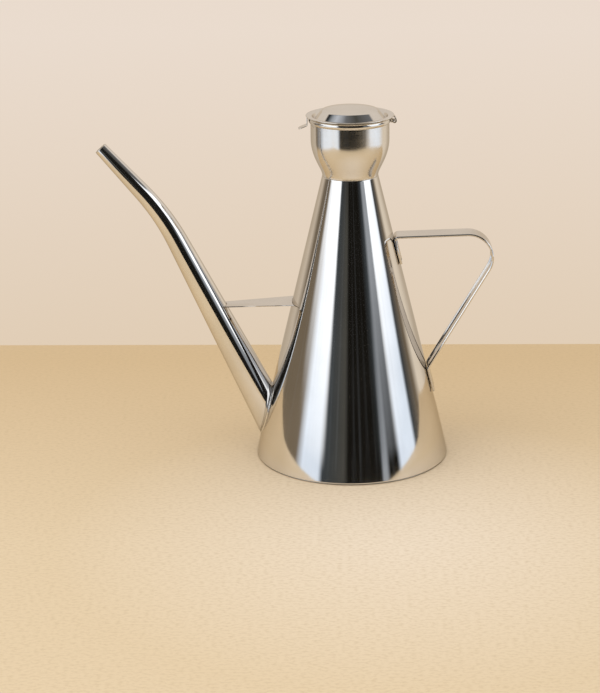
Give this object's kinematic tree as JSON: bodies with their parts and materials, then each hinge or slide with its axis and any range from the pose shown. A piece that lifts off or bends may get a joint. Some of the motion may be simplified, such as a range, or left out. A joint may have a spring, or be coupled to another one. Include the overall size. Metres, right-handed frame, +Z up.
{
  "type": "oil pourer",
  "caption": "Conical stainless steel oil pourer with a long bent spout and its brace, a strap handle, and a flared filling cup closed by a hinged lid.",
  "frame": {"origin": "middle of the base's underside, on the table", "axes": "+Z up along the cone's axis, the spout along -X, the handle and the lid's hinge along +X"},
  "size_m": [0.2, 0.1, 0.1822],
  "materials": {
    "polished_shell": "mirror polished stainless sheet",
    "lid_sheet": "polished stainless pressing",
    "strap": "bright stainless strip",
    "wire": "bright stainless wire",
    "base_sheet": "satin stainless sheet"
  },
  "bodies": {
    "vessel": {"base_disc": "base_sheet", "cone_body": "polished_shell", "neck_cup": "polished_shell", "hinge_staple": "wire", "spout": "polished_shell", "spout_brace": "strap", "handle_strap": "strap"},
    "cover": {"lid": "lid_sheet"}
  },
  "joints": [
    {"name": "lid_hinge", "type": "hinge", "parent": "vessel", "child": "cover", "pos_m": [0.02215, 0, 0.1756], "axis": [0, 1, 0], "range_deg": [0, 225]}
  ]
}
